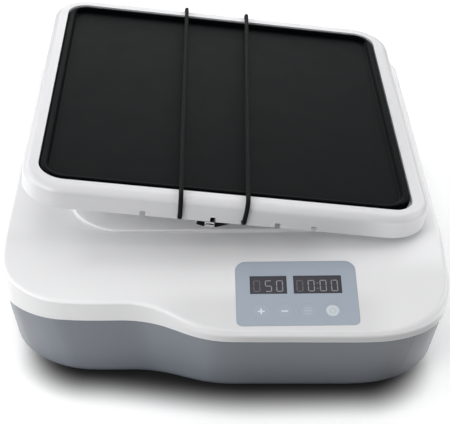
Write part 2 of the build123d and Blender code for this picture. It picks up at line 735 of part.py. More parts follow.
with BuildPart() as power_inlet:
    with BuildSketch(Plane.XZ.offset(-209.5)):
        with Locations((120, 37)):
            RectangleRounded(34, 27, 2)
    extrude(amount=2.3)
    with BuildSketch(Plane.XZ.offset(-207.2)):
        with Locations((120, 37)):
            Rectangle(28, 20)
    extrude(amount=22)
    with BuildSketch(Plane.XZ.offset(-209.5)) as well:
        with Locations((120, 37)):
            Rectangle(24.6, 16.6)
        chamfer(well.vertices().group_by(Axis.Y)[0], 4)
    extrude(amount=17, mode=Mode.SUBTRACT)
    with BuildSketch(Plane.XZ.offset(-193)):
        with Locations((113, 35), (127, 35), (120, 40)):
            Rectangle(1.84, 4.24)
    extrude(amount=9, mode=Mode.SUBTRACT)
    fillet(power_inlet.faces().filter_by(Axis.Y).sort_by(Axis.Y)[-1].outer_wire().edges(), 0.6)
save(power_inlet.part, "power_inlet")

with BuildPart() as inlet_pins:
    with BuildSketch(Plane.XZ.offset(-206)):
        with Locations((113, 35), (127, 35), (120, 40)):
            Rectangle(1.8, 4.2)
    extrude(amount=29)
    chamfer(inlet_pins.faces().filter_by(Axis.Y).group_by(Axis.Y)[-1].edges(), 0.4)
save(inlet_pins.part, "inlet_pins")

with BuildPart() as power_switch_frame:
    with BuildSketch(Plane.XZ.offset(-209.2)):
        with Locations((70, 37)):
            RectangleRounded(31, 17, 1.5)
    extrude(amount=2.0)
    with BuildSketch(Plane.XZ.offset(-207.2)):
        with Locations((70, 37)):
            Rectangle(27, 13)
    extrude(amount=17)
    with BuildSketch(Plane.XZ.offset(-209.2)):
        with Locations((70, 37)):
            Rectangle(23.2, 10.4)
    extrude(amount=14, mode=Mode.SUBTRACT)
    with BuildSketch(Plane.XZ.offset(-190.2)):
        with Locations((62, 37), (70, 37), (78, 37)):
            Rectangle(0.8, 4.8)
    extrude(amount=8)
save(power_switch_frame.part, "power_switch_frame")

# rocker: two faces meeting at a shallow valley, pressed in on its left
SW_Y, SW_A = 198.8, 6.0
with BuildPart() as power_rocker:
    with BuildSketch(Plane.XY.offset(37 - 4.9)):
        with BuildLine():
            Polyline((-10.7, 1.0), (10.7, 1.0), (10.7, 9.2), (0, 7.6), (-10.7, 9.2), close=True)
        make_face()
        Circle(3.0)
    extrude(amount=9.8)
save(power_rocker.part, "power_rocker", Location((70, SW_Y, 0)) * Location((0, 0, 0), (0, 0, 1), -SW_A))

# ---------------------------------------------------------------- control panel, in the deck frame
WIN = ((36.2, 49.5, 30.0, 17.4), (76.35, 49.5, 39.2, 17.4))
KEYS = (("key_plus", 29.5), ("key_minus", 48.4), ("key_mode", 67.3), ("key_run", 87.0))
KEY_Y = 24.0
KEY_R = 7.05

with BuildPart() as panel_overlay:
    with BuildSketch(Plane.XY.offset(-0.8)) as ov:
        with Locations((58.9, 41.4)):
            Rectangle(98.6, 62.4)
        fillet(ov.vertices().group_by(Axis.Y)[0], 5.0)
        fillet(ov.vertices().group_by(Axis.Y)[-1], 9.0)
        for x, y, w, h in WIN:
            with Locations((x, y)):
                Rectangle(w + 0.2, h + 0.2, mode=Mode.SUBTRACT)
        for _, x in KEYS:
            with Locations((x, KEY_Y)):
                Circle(KEY_R + 0.08, mode=Mode.SUBTRACT)
    extrude(amount=0.8)
save(panel_overlay.part, "panel_overlay", DECK)

with BuildPart() as speed_window:
    with BuildSketch(Plane.XY.offset(-1.0)):
        with Locations(WIN[0][:2]):
            Rectangle(WIN[0][2], WIN[0][3])
    extrude(amount=0.95)
save(speed_window.part, "speed_window", DECK)
with BuildPart() as timer_window:
    with BuildSketch(Plane.XY.offset(-1.0)):
        with Locations(WIN[1][:2]):
            Rectangle(WIN[1][2], WIN[1][3])
    extrude(amount=0.95)
save(timer_window.part, "timer_window", DECK)


def led_module(x, y, w, h, digits, pitch):
    """LED display block with its segments as shallow pockets in its face."""
    with BuildPart() as made:
        with BuildSketch(Plane.XY.offset(-8.2)):
            with Locations((x, y)):
                Rectangle(w, h)
        extrude(amount=7.2)
        with BuildSketch(Plane.XY.offset(-1.4)):
            with Locations((x, y)):
                with GridLocations(pitch, 0, digits, 1):
                    Rectangle(6.2, 11.2)
                    Rectangle(4.2, 3.9, mode=Mode.SUBTRACT)
        extrude(amount=1.0, mode=Mode.SUBTRACT)
    return made.part


with BuildPart() as speed_display:
    add(led_module(WIN[0][0], WIN[0][1], 30.0, 19.0, 3, 9.4))
save(speed_display.part, "speed_display", DECK)
with BuildPart() as timer_display:
    add(led_module(WIN[1][0], WIN[1][1], 39.2, 19.0, 4, 9.4))
save(timer_display.part, "timer_display", DECK)

with BuildPart() as display_board:
    with BuildSketch(Plane.XY.offset(-9.8)):
        with Locations((58.9, 42.5)):
            RectangleRounded(107, 66, 2)
        with Locations((10.5, 13), (107.3, 13), (10.5, 71), (107.3, 71)):
            Circle(1.6, mode=Mode.SUBTRACT)
    extrude(amount=1.6)
save(display_board.part, "display_board", DECK)

with BuildPart() as display_screws:
    add(screw(((10.5, 13), (107.3, 13), (10.5, 71), (107.3, 71)), -9.8, 2.6, 1.6, 1.25, 6.6))
save(display_screws.part, "display_screws", DECK)

with BuildPart() as tact_switches:
    with BuildSketch(Plane.XY.offset(-8.2)):
        with Locations(*[(x, KEY_Y) for _, x in KEYS]):
            Rectangle(6, 6)
    extrude(amount=3.6)
    with BuildSketch(Plane.XY.offset(-4.6)):
        with Locations(*[(x, KEY_Y) for _, x in KEYS]):
            Circle(1.75)
    extrude(amount=1.1)
save(tact_switches.part, "tact_switches", DECK)


def key_body(x):
    """Flat key cap flush with the panel film, with a keeper flange under it and a stem over its switch."""
    with BuildPart() as made:
        with BuildSketch(Plane.XY.offset(-1.2)):
            with Locations((x, KEY_Y)):
                Circle(KEY_R)
        extrude(amount=1.2)
        with BuildSketch(Plane.XY.offset(-2.2)):
            with Locations((x, KEY_Y)):
                Circle(KEY_R + 1.2)
        extrude(amount=1.2)
        with BuildSketch(Plane.XY.offset(-3.0)):
            with Locations((x, KEY_Y)):
                Circle(1.7)
        extrude(amount=1.2)
    return made.part


with BuildPart() as key_plus:
    add(key_body(KEYS[0][1]))
save(key_plus.part, "key_plus", DECK)
with BuildPart() as key_minus:
    add(key_body(KEYS[1][1]))
save(key_minus.part, "key_minus", DECK)
with BuildPart() as key_mode:
    add(key_body(KEYS[2][1]))
save(key_mode.part, "key_mode", DECK)
with BuildPart() as key_run:
    add(key_body(KEYS[3][1]))
save(key_run.part, "key_run", DECK)

# ---------------------------------------------------------------- inner leads, clipped down along their whole route


def lead(points, radius, dia):
    """Round lead along straight runs joined by tangent arcs, and its length."""
    with BuildPart() as made:
        with BuildLine() as route:
            FilletPolyline(*points, radius=radius)
        w = route.wire()
        with BuildSketch(Plane(origin=w @ 0, z_dir=w % 0)):
            Circle(dia / 2)
        sweep(path=w)
    return made.part, w.length


display_cable, length = lead([(40, -150, 82.9), (40, -150, 34), (-20, -128, 19.6), (-78, -10, 19.6), (-92, 48, 19.6), (-92, 57, 45), (-92, 70, 45), (-92, 70, 36.65)],
                             [14, 14, 22, 22, 5, 4], 5.0)
print("display_cable", length, display_cable.volume / (3.14159265 * 2.5**2))
save(display_cable, "display_cable")
motor_lead, length = lead([(MOTOR_X, 80.0, CRANK_Z), (MOTOR_X, 92, CRANK_Z), (60, 92, 30), (20, 88, 19.1), (-20, 88, 19.1), (-40, 88, 45), (-54, 88, 45), (-54, 88, 36.65)],
                          [6, 8, 14, 7, 5, 4], 4.0)
print("motor_lead", length, motor_lead.volume / (3.14159265 * 2.0**2))
save(motor_lead, "motor_lead")

# ---------------------------------------------------------------- platform, in its own tilted frame
RECESS_R = (23.0, 18.0, 20.0, 20.0)       # corner radii: front left, front right, back right, back left
MAT_R = (22.7, 27.0, 19.7, 19.7)


def mat_outline(h, radii):
    """Square of half width h with its own radius at each corner."""
    with BuildSketch() as sq:
        with BuildLine():
            r0, r1, r2, r3 = radii
            q = sqrt(0.5)
            Line((-h + r0, -h), (h - r1, -h))
            ThreePointArc((h - r1, -h), (h - r1 + r1 * q, -h + r1 - r1 * q), (h, -h + r1))
            Line((h, -h + r1), (h, h - r2))
            ThreePointArc((h, h - r2), (h - r2 + r2 * q, h - r2 + r2 * q), (h - r2, h))
            Line((h - r2, h), (-h + r3, h))
            ThreePointArc((-h + r3, h), (-h + r3 - r3 * q, h - r3 + r3 * q), (-h, h - r3))
            Line((-h, h - r3), (-h, -h + r0))
            ThreePointArc((-h, -h + r0), (-h + r0 - r0 * q, -h + r0 - r0 * q), (-h + r0, -h))
        make_face()
    add(sq.sketch)


with BuildPart() as platform_tray:
    with BuildSketch(Plane.XY.offset(RIM_W - SKIRT)):
        with Locations((TRAY_X, 0)):
            RectangleRounded(PLAT, PLAT, 37)
    extrude(amount=SKIRT)
    fillet(platform_tray.faces().sort_by(Axis.Z)[-1].outer_wire().edges(), 7.0)
    # underside hollow
    with BuildSketch(Plane.XY.offset(RIM_W - SKIRT)):
        with Locations((TRAY_X, 0)):
            RectangleRounded(PLAT - 6.0, PLAT - 6.0, 34)
    extrude(amount=SKIRT - 9.0, mode=Mode.SUBTRACT)
    # recess for the mat
    with BuildSketch(Plane.XY.offset(RIM_W - 6.0)):
        mat_outline(MAT / 2, RECESS_R)
    extrude(amount=7.0, mode=Mode.SUBTRACT)
    # stiffening ribs under the floor, round the steel frame
    with BuildSketch(Plane.XY.offset(RIM_W - 9.0 - 5.0)):
        Rectangle(268, 268)
        Rectangle(264, 264, mode=Mode.SUBTRACT)
    extrude(amount=5.0)
    # lighten the thick border between the recess and the skirt
    with BuildSketch(Plane.XY.offset(RIM_W - 9.01)):
        with Locations((TRAY_X, 0)):
            RectangleRounded(PLAT - 8.0, PLAT - 8.0, 33)
        RectangleRounded(MAT + 6.0, MAT + 6.0, 22, mode=Mode.SUBTRACT)
    extrude(amount=4.0, mode=Mode.SUBTRACT)
    # tie-down notches in the lower edge, front and back
    with BuildSketch(Plane.XY.offset(RIM_W - SKIRT - 1)):
        with Locations(*[(x, -168.5) for x in NOTCH_X], *[(x, 168.5) for x in NOTCH_BACK]):
            Rectangle(4.6, 6)
    extrude(amount=5.4, mode=Mode.SUBTRACT)
    # countersunk holes for the frame screws
    with Locations(Plane.XY.offset(RIM_W - 6.0)):
        with GridLocations(190, 190, 2, 2):
            CounterSinkHole(2.6, 5.1, counter_sink_angle=90)
        with GridLocations(190, 0, 2, 1):
            CounterSinkHole(2.6, 5.1, counter_sink_angle=90)
save(platform_tray.part, "platform_tray", PLATFORM)

MAT_O = MAT / 2 - 0.3
with BuildPart() as platform_mat:
    with BuildSketch(Plane.XY.offset(RIM_W - 6.0)):
        mat_outline(MAT_O, MAT_R)
    extrude(amount=6.4)
    fillet(platform_mat.faces().sort_by(Axis.Z)[-1].outer_wire().edges(), 1.6)
    with BuildSketch(Plane.XY.offset(RIM_W - 4.0)):
        RectangleRounded(2 * MAT_O - 17.0, 2 * MAT_O - 17.0, 14)
    extrude(amount=4.6, taper=-40, mode=Mode.SUBTRACT)
save(platform_mat.part, "platform_mat", PLATFORM)

with BuildPart() as support_frame:
    with BuildSketch(Plane.XY.offset(RIM_W - 12.0)) as sf:
        RectangleRounded(240, 240, 10)
        with Locations((-72, 0), (72, 0)):
            RectangleRounded(62, 130, 10, mode=Mode.SUBTRACT)
        with Locations((0, 0)):
            RectangleRounded(44, 90, 8, mode=Mode.SUBTRACT)
        with GridLocations(190, 190, 2, 2):
            Circle(2.7, mode=Mode.SUBTRACT)
        with GridLocations(190, 0, 2, 1):
            Circle(2.7, mode=Mode.SUBTRACT)
    extrude(amount=3.0)
    with BuildSketch(Plane.XY.offset(RIM_W - 12.0)):
        with Locations(*[(x, y) for y in (-70, 70) for x in (-13, 13)]):
            Circle(2.3)
    extrude(amount=3.0, mode=Mode.SUBTRACT)
save(support_frame.part, "support_frame", PLATFORM)

FRAME_PTS = [(x, y) for x in (-95, 95) for y in (-95, 0, 95)]
with BuildPart() as frame_screws:
    with BuildSketch(Plane.XY.offset(RIM_W - 6.0)):
        with Locations(*FRAME_PTS):
            Circle(4.95)
    extrude(amount=-2.5, taper=45)
    with BuildSketch(Plane.XY.offset(RIM_W - 6.2)):
        with Locations(*FRAME_PTS):
            Circle(2.45)
    extrude(amount=-11.0)
save(frame_screws.part, "frame_screws", PLATFORM)

with BuildPart() as frame_nuts:
    with BuildSketch(Plane.XY.offset(RIM_W - 12.0)):
        with Locations(*FRAME_PTS):
            RegularPolygon(4.6, 6)
            Circle(2.5, mode=Mode.SUBTRACT)
    extrude(amount=-4.0)
save(frame_nuts.part, "frame_nuts", PLATFORM)

with BuildPart() as rocker_shaft:
    with BuildSketch(Plane.XZ.offset(-(154 - YC))):
        Circle(6)
    extrude(amount=238)
    chamfer(rocker_shaft.edges().filter_by(GeomType.CIRCLE), 0.8)
save(rocker_shaft.part, "rocker_shaft", PLATFORM)

with BuildPart() as shaft_clamps:
    for y in (-70, 70):
        with BuildSketch(Plane.XZ.offset(-(y + 10))):
            with BuildLine():
                Polyline((-19, RIM_W - 12), (-19, 12), (-11, -4), (11, -4), (19, 12), (19, RIM_W - 12), close=True)
            make_face()
            Circle(11.5)
            Circle(6.03, mode=Mode.SUBTRACT)
        extrude(amount=20)
    with BuildSketch(Plane.XY.offset(RIM_W - 12)):
        with Locations(*[(x, y) for y in (-70, 70) for x in (-13, 13)]):
            Circle(2.05)
    extrude(amount=-10, mode=Mode.SUBTRACT)
save(shaft_clamps.part, "shaft_clamps", PLATFORM)

with BuildPart() as clamp_screws:
    with BuildSketch(Plane.YZ.offset(6.2)):
        Circle(1.5)
    extrude(amount=7.0)
    with BuildSketch(Plane.YZ.offset(13.2)):
        RegularPolygon(1.3, 6)
    extrude(amount=-1.5, mode=Mode.SUBTRACT)
    with BuildSketch(Plane.XY.offset(RIM_W - 9.0)):
        with Locations(*[(x, y) for y in (-70, 70) for x in (-13, 13)]):
            Circle(2.25)
    extrude(amount=-0.8)
    with BuildSketch(Plane.XY.offset(RIM_W - 9.0)):
        with Locations(*[(x, y) for y in (-70, 70) for x in (-13, 13)]):
            Circle(2.0)
    extrude(amount=-12.0)
save(clamp_screws.part, "clamp_screws", PLATFORM)

with BuildPart() as shaft_collars:
    for y0 in (-82 - YC, 144 - YC):
        with BuildSketch(Plane.XZ.offset(-(y0 + 8))):
            Circle(10)
            Circle(6.03, mode=Mode.SUBTRACT)
        extrude(amount=8)
    chamfer(shaft_collars.edges().filter_by(GeomType.CIRCLE).filter_by(lambda e: e.radius > 9), 0.7)
save(shaft_collars.part, "shaft_collars", PLATFORM)

FORK_GAP = 16.0 + 2 * 1.5
with BuildPart() as drive_fork:
    with BuildSketch(Plane.XZ.offset(-4)):
        Circle(13)
        with BuildLine():
            Polyline((-11, 0), (11, 0), (11, -30), (18, -44), (18, -77), (-18, -77), (-18, -44), (-11, -30), close=True)
        make_face()
        Circle(6.03, mode=Mode.SUBTRACT)
        with BuildLine():
            l1 = Line((-FORK_GAP / 2, -80), (-FORK_GAP / 2, -60.5))
            ThreePointArc((-FORK_GAP / 2, -60.5), (0, -60.5 + FORK_GAP / 2), (FORK_GAP / 2, -60.5))
            Line((FORK_GAP / 2, -60.5), (FORK_GAP / 2, -80))
            Line((FORK_GAP / 2, -80), (-FORK_GAP / 2, -80))
        make_face(mode=Mode.SUBTRACT)
    extrude(amount=8)
    with BuildSketch(Plane.YZ.offset(5)):
        with Locations((0, 0)):
            Circle(1.55)
    extrude(amount=10, mode=Mode.SUBTRACT)
save(drive_fork.part, "drive_fork", PLATFORM)


# elastic retaining cord: one loop over the platform, through the notches and behind the skirts,
# its two ends held in a ferrule under the front edge
TOPW, LOW, OUT, BACK = RIM_W + 0.5 + CORD_D / 2 + 0.1, 17.2, 172.0, 172.2
N2, N3, N4 = NOTCH_X[1:4]
CORD = [(-23.0, -168.2, 12.4), (-17.8, -168.4, 11.2), (-7.5, -168.4, 11.2), (8.0, -163.0, 13.4), (N4, -160.0, LOW),
        (N4, -OUT, LOW), (15.8, -OUT, TOPW), (25.2, BACK, TOPW), (NOTCH_BACK[3], BACK, LOW), (NOTCH_BACK[3], 160, LOW),
        (NOTCH_BACK[1], 160, LOW), (NOTCH_BACK[1], BACK, LOW), (-36.9, BACK, TOPW), (-38.6, -OUT, TOPW), (N2, -OUT, LOW),
        (N2, -160, LOW), (N3, -164.6, LOW), (N3, -164.6, 13.0)]
CORD_R = [3.0, 3.5, 3.0, 2.6, 2.6, 9.0, 9.0, 2.6, 3.5, 3.5, 2.6, 9.0, 9.0, 2.6, 3.0, 2.4]
retaining_cord, length = lead(CORD, CORD_R, CORD_D)
print("retaining_cord", length, retaining_cord.volume / (3.14159265 * (CORD_D / 2) ** 2))
save(retaining_cord, "retaining_cord", PLATFORM)

with BuildPart() as cord_ferrule:
    with BuildSketch(Plane.YZ.offset(-16.9)):
        with Locations((-166.8, 11.2)):
            RectangleRounded(8.4, 6.4, 2.6)
    extrude(amount=8.4)
    fillet(cord_ferrule.faces().filter_by(Axis.X).edges(), 0.8)
    with BuildSketch(Plane.YZ.offset(-17.2)):
        with Locations((-168.4, 11.2)):
            Circle(CORD_D / 2 + 0.03)
    extrude(amount=9.2, mode=Mode.SUBTRACT)
    with BuildSketch(Plane.XY.offset(12.95)):
        with Locations((N3, -164.6)):
            Circle(CORD_D / 2 + 0.03)
    extrude(amount=4, mode=Mode.SUBTRACT)
save(cord_ferrule.part, "cord_ferrule", PLATFORM)
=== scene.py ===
"""Looks of the rocking shaker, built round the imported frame: camera, studio, materials and fine pieces."""
import bpy
import bmesh
import math
from mathutils import Matrix, Vector


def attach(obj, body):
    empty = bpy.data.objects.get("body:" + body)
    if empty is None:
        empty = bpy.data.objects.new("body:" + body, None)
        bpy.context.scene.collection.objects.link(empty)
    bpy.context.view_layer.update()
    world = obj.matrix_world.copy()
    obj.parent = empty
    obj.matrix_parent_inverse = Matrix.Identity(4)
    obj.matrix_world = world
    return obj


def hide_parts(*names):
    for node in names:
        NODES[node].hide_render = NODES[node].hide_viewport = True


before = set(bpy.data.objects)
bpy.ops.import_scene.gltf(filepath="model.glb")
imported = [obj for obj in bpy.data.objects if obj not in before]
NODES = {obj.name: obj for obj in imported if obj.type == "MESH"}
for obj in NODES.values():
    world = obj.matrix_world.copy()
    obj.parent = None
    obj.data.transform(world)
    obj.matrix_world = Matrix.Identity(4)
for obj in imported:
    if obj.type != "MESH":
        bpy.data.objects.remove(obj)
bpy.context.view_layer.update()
scene = bpy.context.scene

# ------------------------------------------------------------------ camera, at the photograph's view
PITCH, AZ = math.radians(36.09), math.radians(0.98)
cam_data = bpy.data.cameras.new("camera")
cam_data.sensor_fit = "HORIZONTAL"
cam_data.sensor_width = 36.0
cam_data.lens = 36.0 * 1169.7 / 450.0
cam_data.clip_start, cam_data.clip_end = 0.05, 20.0
cam = bpy.data.objects.new("camera", cam_data)
scene.collection.objects.link(cam)
fwd = Vector((math.sin(AZ) * math.cos(PITCH), math.cos(AZ) * math.cos(PITCH), -math.sin(PITCH)))
right = Vector((math.cos(AZ), -math.sin(AZ), 0.0))
up = right.cross(fwd)
rot = Matrix((right, up, -fwd)).transposed()
cam.matrix_world = Matrix.Translation((-0.0116, -0.8984, 0.6987)) @ rot.to_4x4()
scene.camera = cam

# ------------------------------------------------------------------ places: platform and deck frames, in metres
TILT = math.radians(7.2)
PLAT = Matrix.Translation((0.0, 0.035, 0.116)) @ Matrix.Rotation(TILT, 4, "Y")
SLOPE = math.radians(16.1)
DECK = Matrix.Translation((0.0, -0.212, 0.076)) @ Matrix.Rotation(SLOPE, 4, "X")
MM = 0.001
RIM_W = 34.0


# ------------------------------------------------------------------ node helpers
def srgb(r, g, b):
    def f(c):
        c /= 255.0
        return c / 12.92 if c <= 0.04045 else ((c + 0.055) / 1.055) ** 2.4
    return (f(r), f(g), f(b), 1.0)


class Mat:
    """A Principled material with procedural colour, roughness and bump in object coordinates."""

    def __init__(self, name, base, rough, metallic=0.0, spec=0.5):
        self.m = bpy.data.materials.new(name)
        self.m.use_nodes = True
        self.t = self.m.node_tree
        self.b = self.t.nodes["Principled BSDF"]
        self.base = base
        self.b.inputs["Base Color"].default_value = base
        self.b.inputs["Roughness"].default_value = rough
        self.b.inputs["Metallic"].default_value = metallic
        self.b.inputs["Specular IOR Level"].default_value = spec
        self.rough = rough
        self.tc = self.t.nodes.new("ShaderNodeTexCoord")
        self.heights = []

    def set(self, **kw):
        for k, v in kw.items():
            self.b.inputs[k.replace("_", " ")].default_value = v
        return self

    def coords(self, scale=(1, 1, 1), rotation=(0, 0, 0)):
        mp = self.t.nodes.new("ShaderNodeMapping")
        mp.inputs["Scale"].default_value = scale
        mp.inputs["Rotation"].default_value = rotation
        self.t.links.new(self.tc.outputs["Object"], mp.inputs["Vector"])
        return mp.outputs["Vector"]

    def noise(self, scale, detail=3.0, rough=0.5, vec=None):
        n = self.t.nodes.new("ShaderNodeTexNoise")
        n.inputs["Scale"].default_value = scale
        n.inputs["Detail"].default_value = detail
        n.inputs["Roughness"].default_value = rough
        self.t.links.new(vec if vec is not None else self.coords(), n.inputs["Vector"])
        return n.outputs["Fac"]

    def ramp(self, fac, lo, hi, a=0.3, b=0.7):
        r = self.t.nodes.new("ShaderNodeMapRange")
        r.inputs["From Min"].default_value = a
        r.inputs["From Max"].default_value = b
        r.inputs["To Min"].default_value = lo
        r.inputs["To Max"].default_value = hi
        self.t.links.new(fac, r.inputs["Value"])
        return r.outputs["Result"]

    def mixcol(self, fac, a, b):
        x = self.t.nodes.new("ShaderNodeMix")
        x.data_type = "RGBA"
        self.t.links.new(fac, x.inputs[0])
        for sock, v in ((x.inputs[6], a), (x.inputs[7], b)):
            if isinstance(v, (tuple, list)):
                sock.default_value = v
            else:
                self.t.links.new(v, sock)
        return x.outputs[2]

    def colour(self, sock):
        self.t.links.new(sock, self.b.inputs["Base Color"])
        return self

    def vary(self, amount=0.03, scale=18.0, lift=None):
        """Gentle mottling of the base colour."""
        c = self.base
        dark = tuple(max(0.0, x * (1 - amount)) for x in c[:3]) + (1.0,)
        lite = tuple(min(1.0, x * (1 + amount)) for x in c[:3]) + (1.0,)
        return self.colour(self.mixcol(self.ramp(self.noise(scale, 4.0), 0.0, 1.0), dark, lite))

    def roughness(self, lo, hi, scale=40.0, vec=None):
        self.t.links.new(self.ramp(self.noise(scale, 3.0, vec=vec), lo, hi), self.b.inputs["Roughness"])
        return self

    def bump(self, fac, strength, dist):
        b = self.t.nodes.new("ShaderNodeBump")
        b.inputs["Strength"].default_value = strength
        b.inputs["Distance"].default_value = dist
        self.t.links.new(fac, b.inputs["Height"])
        if self.heights:
            self.t.links.new(self.heights[-1], b.inputs["Normal"])
        self.heights.append(b.outputs["Normal"])
        self.t.links.new(b.outputs["Normal"], self.b.inputs["Normal"])
        return self

    def grain(self, scale=900.0, strength=0.12, dist=0.0004):
        return self.bump(self.noise(scale, 2.0), strength, dist)

    def edge_wear(self, colour, amount=0.5, lo=0.52, hi=0.60):
        """Lighter along convex edges, from the mesh's pointiness."""
        g = self.t.nodes.new("ShaderNodeNewGeometry")
        f = self.ramp(g.outputs["Pointiness"], 0.0, amount, lo, hi)
        src = self.b.inputs["Base Color"].links[0].from_socket if self.b.inputs["Base Color"].links else self.base
        return self.colour(self.mixcol(f, src, colour))

    def slope(self, axis, a, b, lo=0.0, hi=1.0):
        """Smooth step on one component of the surface direction, in the piece's own axes."""
        d = self.t.nodes.new("ShaderNodeSeparateXYZ")
        self.t.links.new(self.tc.outputs["Normal"], d.inputs[0])
        out = self.ramp(d.outputs[axis], lo, hi, a, b)
        out.node.interpolation_type = "SMOOTHSTEP"
        return out

    def along(self, axis, a, b):
        """Smooth step along one of the piece's own axes, in metres."""
        d = self.t.nodes.new("ShaderNodeSeparateXYZ")
        self.t.links.new(self.tc.outputs["Object"], d.inputs[0])
        out = self.ramp(d.outputs[axis], 0.0, 1.0, a, b)
        out.node.interpolation_type = "SMOOTHSTEP"
        return out

    def times(self, *socks):
        out = socks[0]
        for s in socks[1:]:
            n = self.t.nodes.new("ShaderNodeMath")
            n.operation = "MULTIPLY"
            self.t.links.new(out, n.inputs[0])
            self.t.links.new(s, n.inputs[1])
            out = n.outputs[0]
        return out

    def tone(self, fac, k):
        """Multiplies the colour by k where fac is one."""
        x = self.t.nodes.new("ShaderNodeMix")
        x.data_type = "RGBA"
        x.blend_type = "MULTIPLY"
        self.t.links.new(fac, x.inputs[0])
        src = self.b.inputs["Base Color"].links[0].from_socket
        self.t.links.new(src, x.inputs[6])
        x.inputs[7].default_value = (k, k, k, 1.0)
        return self.colour(x.outputs[2])


def paint(node, mat):
    o = NODES[node]
    o.data.materials.clear()
    o.data.materials.append(mat.m if isinstance(mat, Mat) else mat)


# ------------------------------------------------------------------ materials
def moulded(name, base, rough=(0.34, 0.44), grain=(1400.0, 0.10), var=0.012, spec=0.5, coat=0.0, coat_rough=0.25):
    m = Mat(name, base, sum(rough) / 2, spec=spec)
    m.vary(var, 9.0)
    m.roughness(rough[0], rough[1], 30.0)
    m.grain(grain[0], grain[1], 0.00025)
    m.bump(m.noise(6.0, 1.0), 0.06, 0.004)
    if coat:
        m.set(Coat_Weight=coat, Coat_Roughness=coat_rough)
    return m


white_cover = moulded("white_moulding", srgb(227, 227, 228), rough=(0.33, 0.42), coat=0.2)
white_tray = moulded("white_tray_moulding", srgb(209, 209, 211), rough=(0.30, 0.38), coat=0.2)
grey_housing = moulded("grey_moulding", srgb(97, 103, 111), rough=(0.38, 0.46), grain=(1100.0, 0.2), var=0.02, coat=0.5,
                       coat_rough=0.2)
# painted shade: the lip's steep front faces are darker than the flat tops on the left half, and much darker low down on
# the right half next to the seam; the crests between sides and tops get a painted highlight further down
front_side_painted_shade = white_cover.times(white_cover.slope(2, 0.75, 0.35), white_cover.slope(1, -0.35, -0.85), white_cover.slope(2, -0.35, -0.1))
white_cover.tone(white_cover.times(front_side_painted_shade, white_cover.along(0, 0.03, -0.05)), 0.82)
white_cover.tone(white_cover.times(front_side_painted_shade, white_cover.along(0, -0.05, 0.03), white_cover.along(2, 0.0755, 0.0713)), 0.55)
# painted shade: a strip along the front of the deck, in its middle, is darker
deck_front_painted_shade = white_cover.times(white_cover.slope(2, 0.5, 0.62), white_cover.along(1, -0.165, -0.185),
                               white_cover.along(0, -0.07, -0.02), white_cover.along(0, 0.14, 0.105))
white_cover.tone(deck_front_painted_shade, 0.89)
# painted light: the deck under and right of the tray's right front corner is lighter, thinning the tray's shadow there
deck_right_painted_light = white_cover.times(white_cover.slope(2, 0.9, 0.96), white_cover.along(1, -0.16, -0.13), white_cover.along(0, 0.05, 0.13))
white_cover.tone(deck_right_painted_light, 1.18)
# painted shade: the deck under the tray's front edge, across its middle, is darker
deck_under_painted_shade = white_cover.times(white_cover.slope(2, 0.9, 0.96), white_cover.along(1, -0.155, -0.133), white_cover.along(2, 0.1065, 0.1045),
                               white_cover.along(0, -0.14, -0.1), white_cover.along(0, 0.1, 0.06))
white_cover.tone(deck_under_painted_shade, 0.89)
# painted highlight: the crests between the lip sides and the tops are lighter
white_cover.tone(white_cover.times(white_cover.slope(2, 0.945, 0.87), white_cover.slope(2, 0.5, 0.62)), 1.05)
# painted light: the plateau under the tray is lighter
white_cover.tone(white_cover.times(white_cover.slope(2, 0.97, 0.995), white_cover.along(2, 0.1045, 0.1065)), 1.04)
# painted shade: the tray's front skirt is darker, fading out towards the right
tray_side_painted_shade = white_tray.times(white_tray.slope(2, 0.6, 0.2), white_tray.slope(1, -0.5, -0.9), white_tray.along(0, 0.145, 0.085))
white_tray.tone(tray_side_painted_shade, 0.84)
# painted light: the tray's underside is lighter, so that it throws more light onto the deck below
white_tray.tone(white_tray.slope(2, -0.5, -0.9), 1.4)
# painted light: the skirt's right front corner is lighter
white_tray.tone(white_tray.times(white_tray.slope(2, 0.6, 0.2), white_tray.slope(1, -0.2, -0.5), white_tray.along(0, 0.11, 0.14)), 1.16)
# painted light: the tray's upward faces are lighter
white_tray.tone(white_tray.slope(2, 0.85, 0.97), 1.06)
# painted shade and light on the housing: the faces turned right and forward at the right corner, and the front of the
# right half, are darker; the faces turned forward and a little left, at the concave front, are lighter
grey_housing.tone(grey_housing.times(grey_housing.slope(0, 0.05, 0.35), grey_housing.slope(0, 0.85, 0.6), grey_housing.slope(1, -0.2, -0.6)), 0.72)
grey_housing.tone(grey_housing.times(grey_housing.along(0, -0.05, 0.04), grey_housing.slope(1, -0.3, -0.8)), 0.77)
grey_housing.tone(grey_housing.times(grey_housing.slope(0, -0.12, -0.3), grey_housing.slope(0, -0.66, -0.48), grey_housing.slope(1, -0.5, -0.8)), 1.17)
panel_film = moulded("panel_film", srgb(158, 168, 180), rough=(0.36, 0.46), grain=(2200.0, 0.14), var=0.01)
key_grey = moulded("key_film", srgb(160, 170, 182), rough=(0.34, 0.42), grain=(2200.0, 0.10), var=0.01)
key_white = moulded("key_disc", srgb(200, 207, 211), rough=(0.30, 0.38), grain=(2200.0, 0.08), var=0.008)
print_white = moulded("print_white", srgb(216, 222, 228), rough=(0.4, 0.5), grain=(2500.0, 0.05), var=0.01)
print_faint = moulded("print_faint", srgb(182, 190, 198), rough=(0.4, 0.5), grain=(2500.0, 0.05), var=0.01)
print_grey = moulded("print_grey", srgb(180, 188, 194), rough=(0.4, 0.5), grain=(2500.0, 0.05), var=0.01)
black_plastic = moulded("black_moulding", srgb(26, 27, 29), rough=(0.36, 0.5), grain=(900.0, 0.2), var=0.05)
component = moulded("component_moulding", srgb(22, 22, 24), rough=(0.45, 0.6), grain=(1200.0, 0.2), var=0.08)


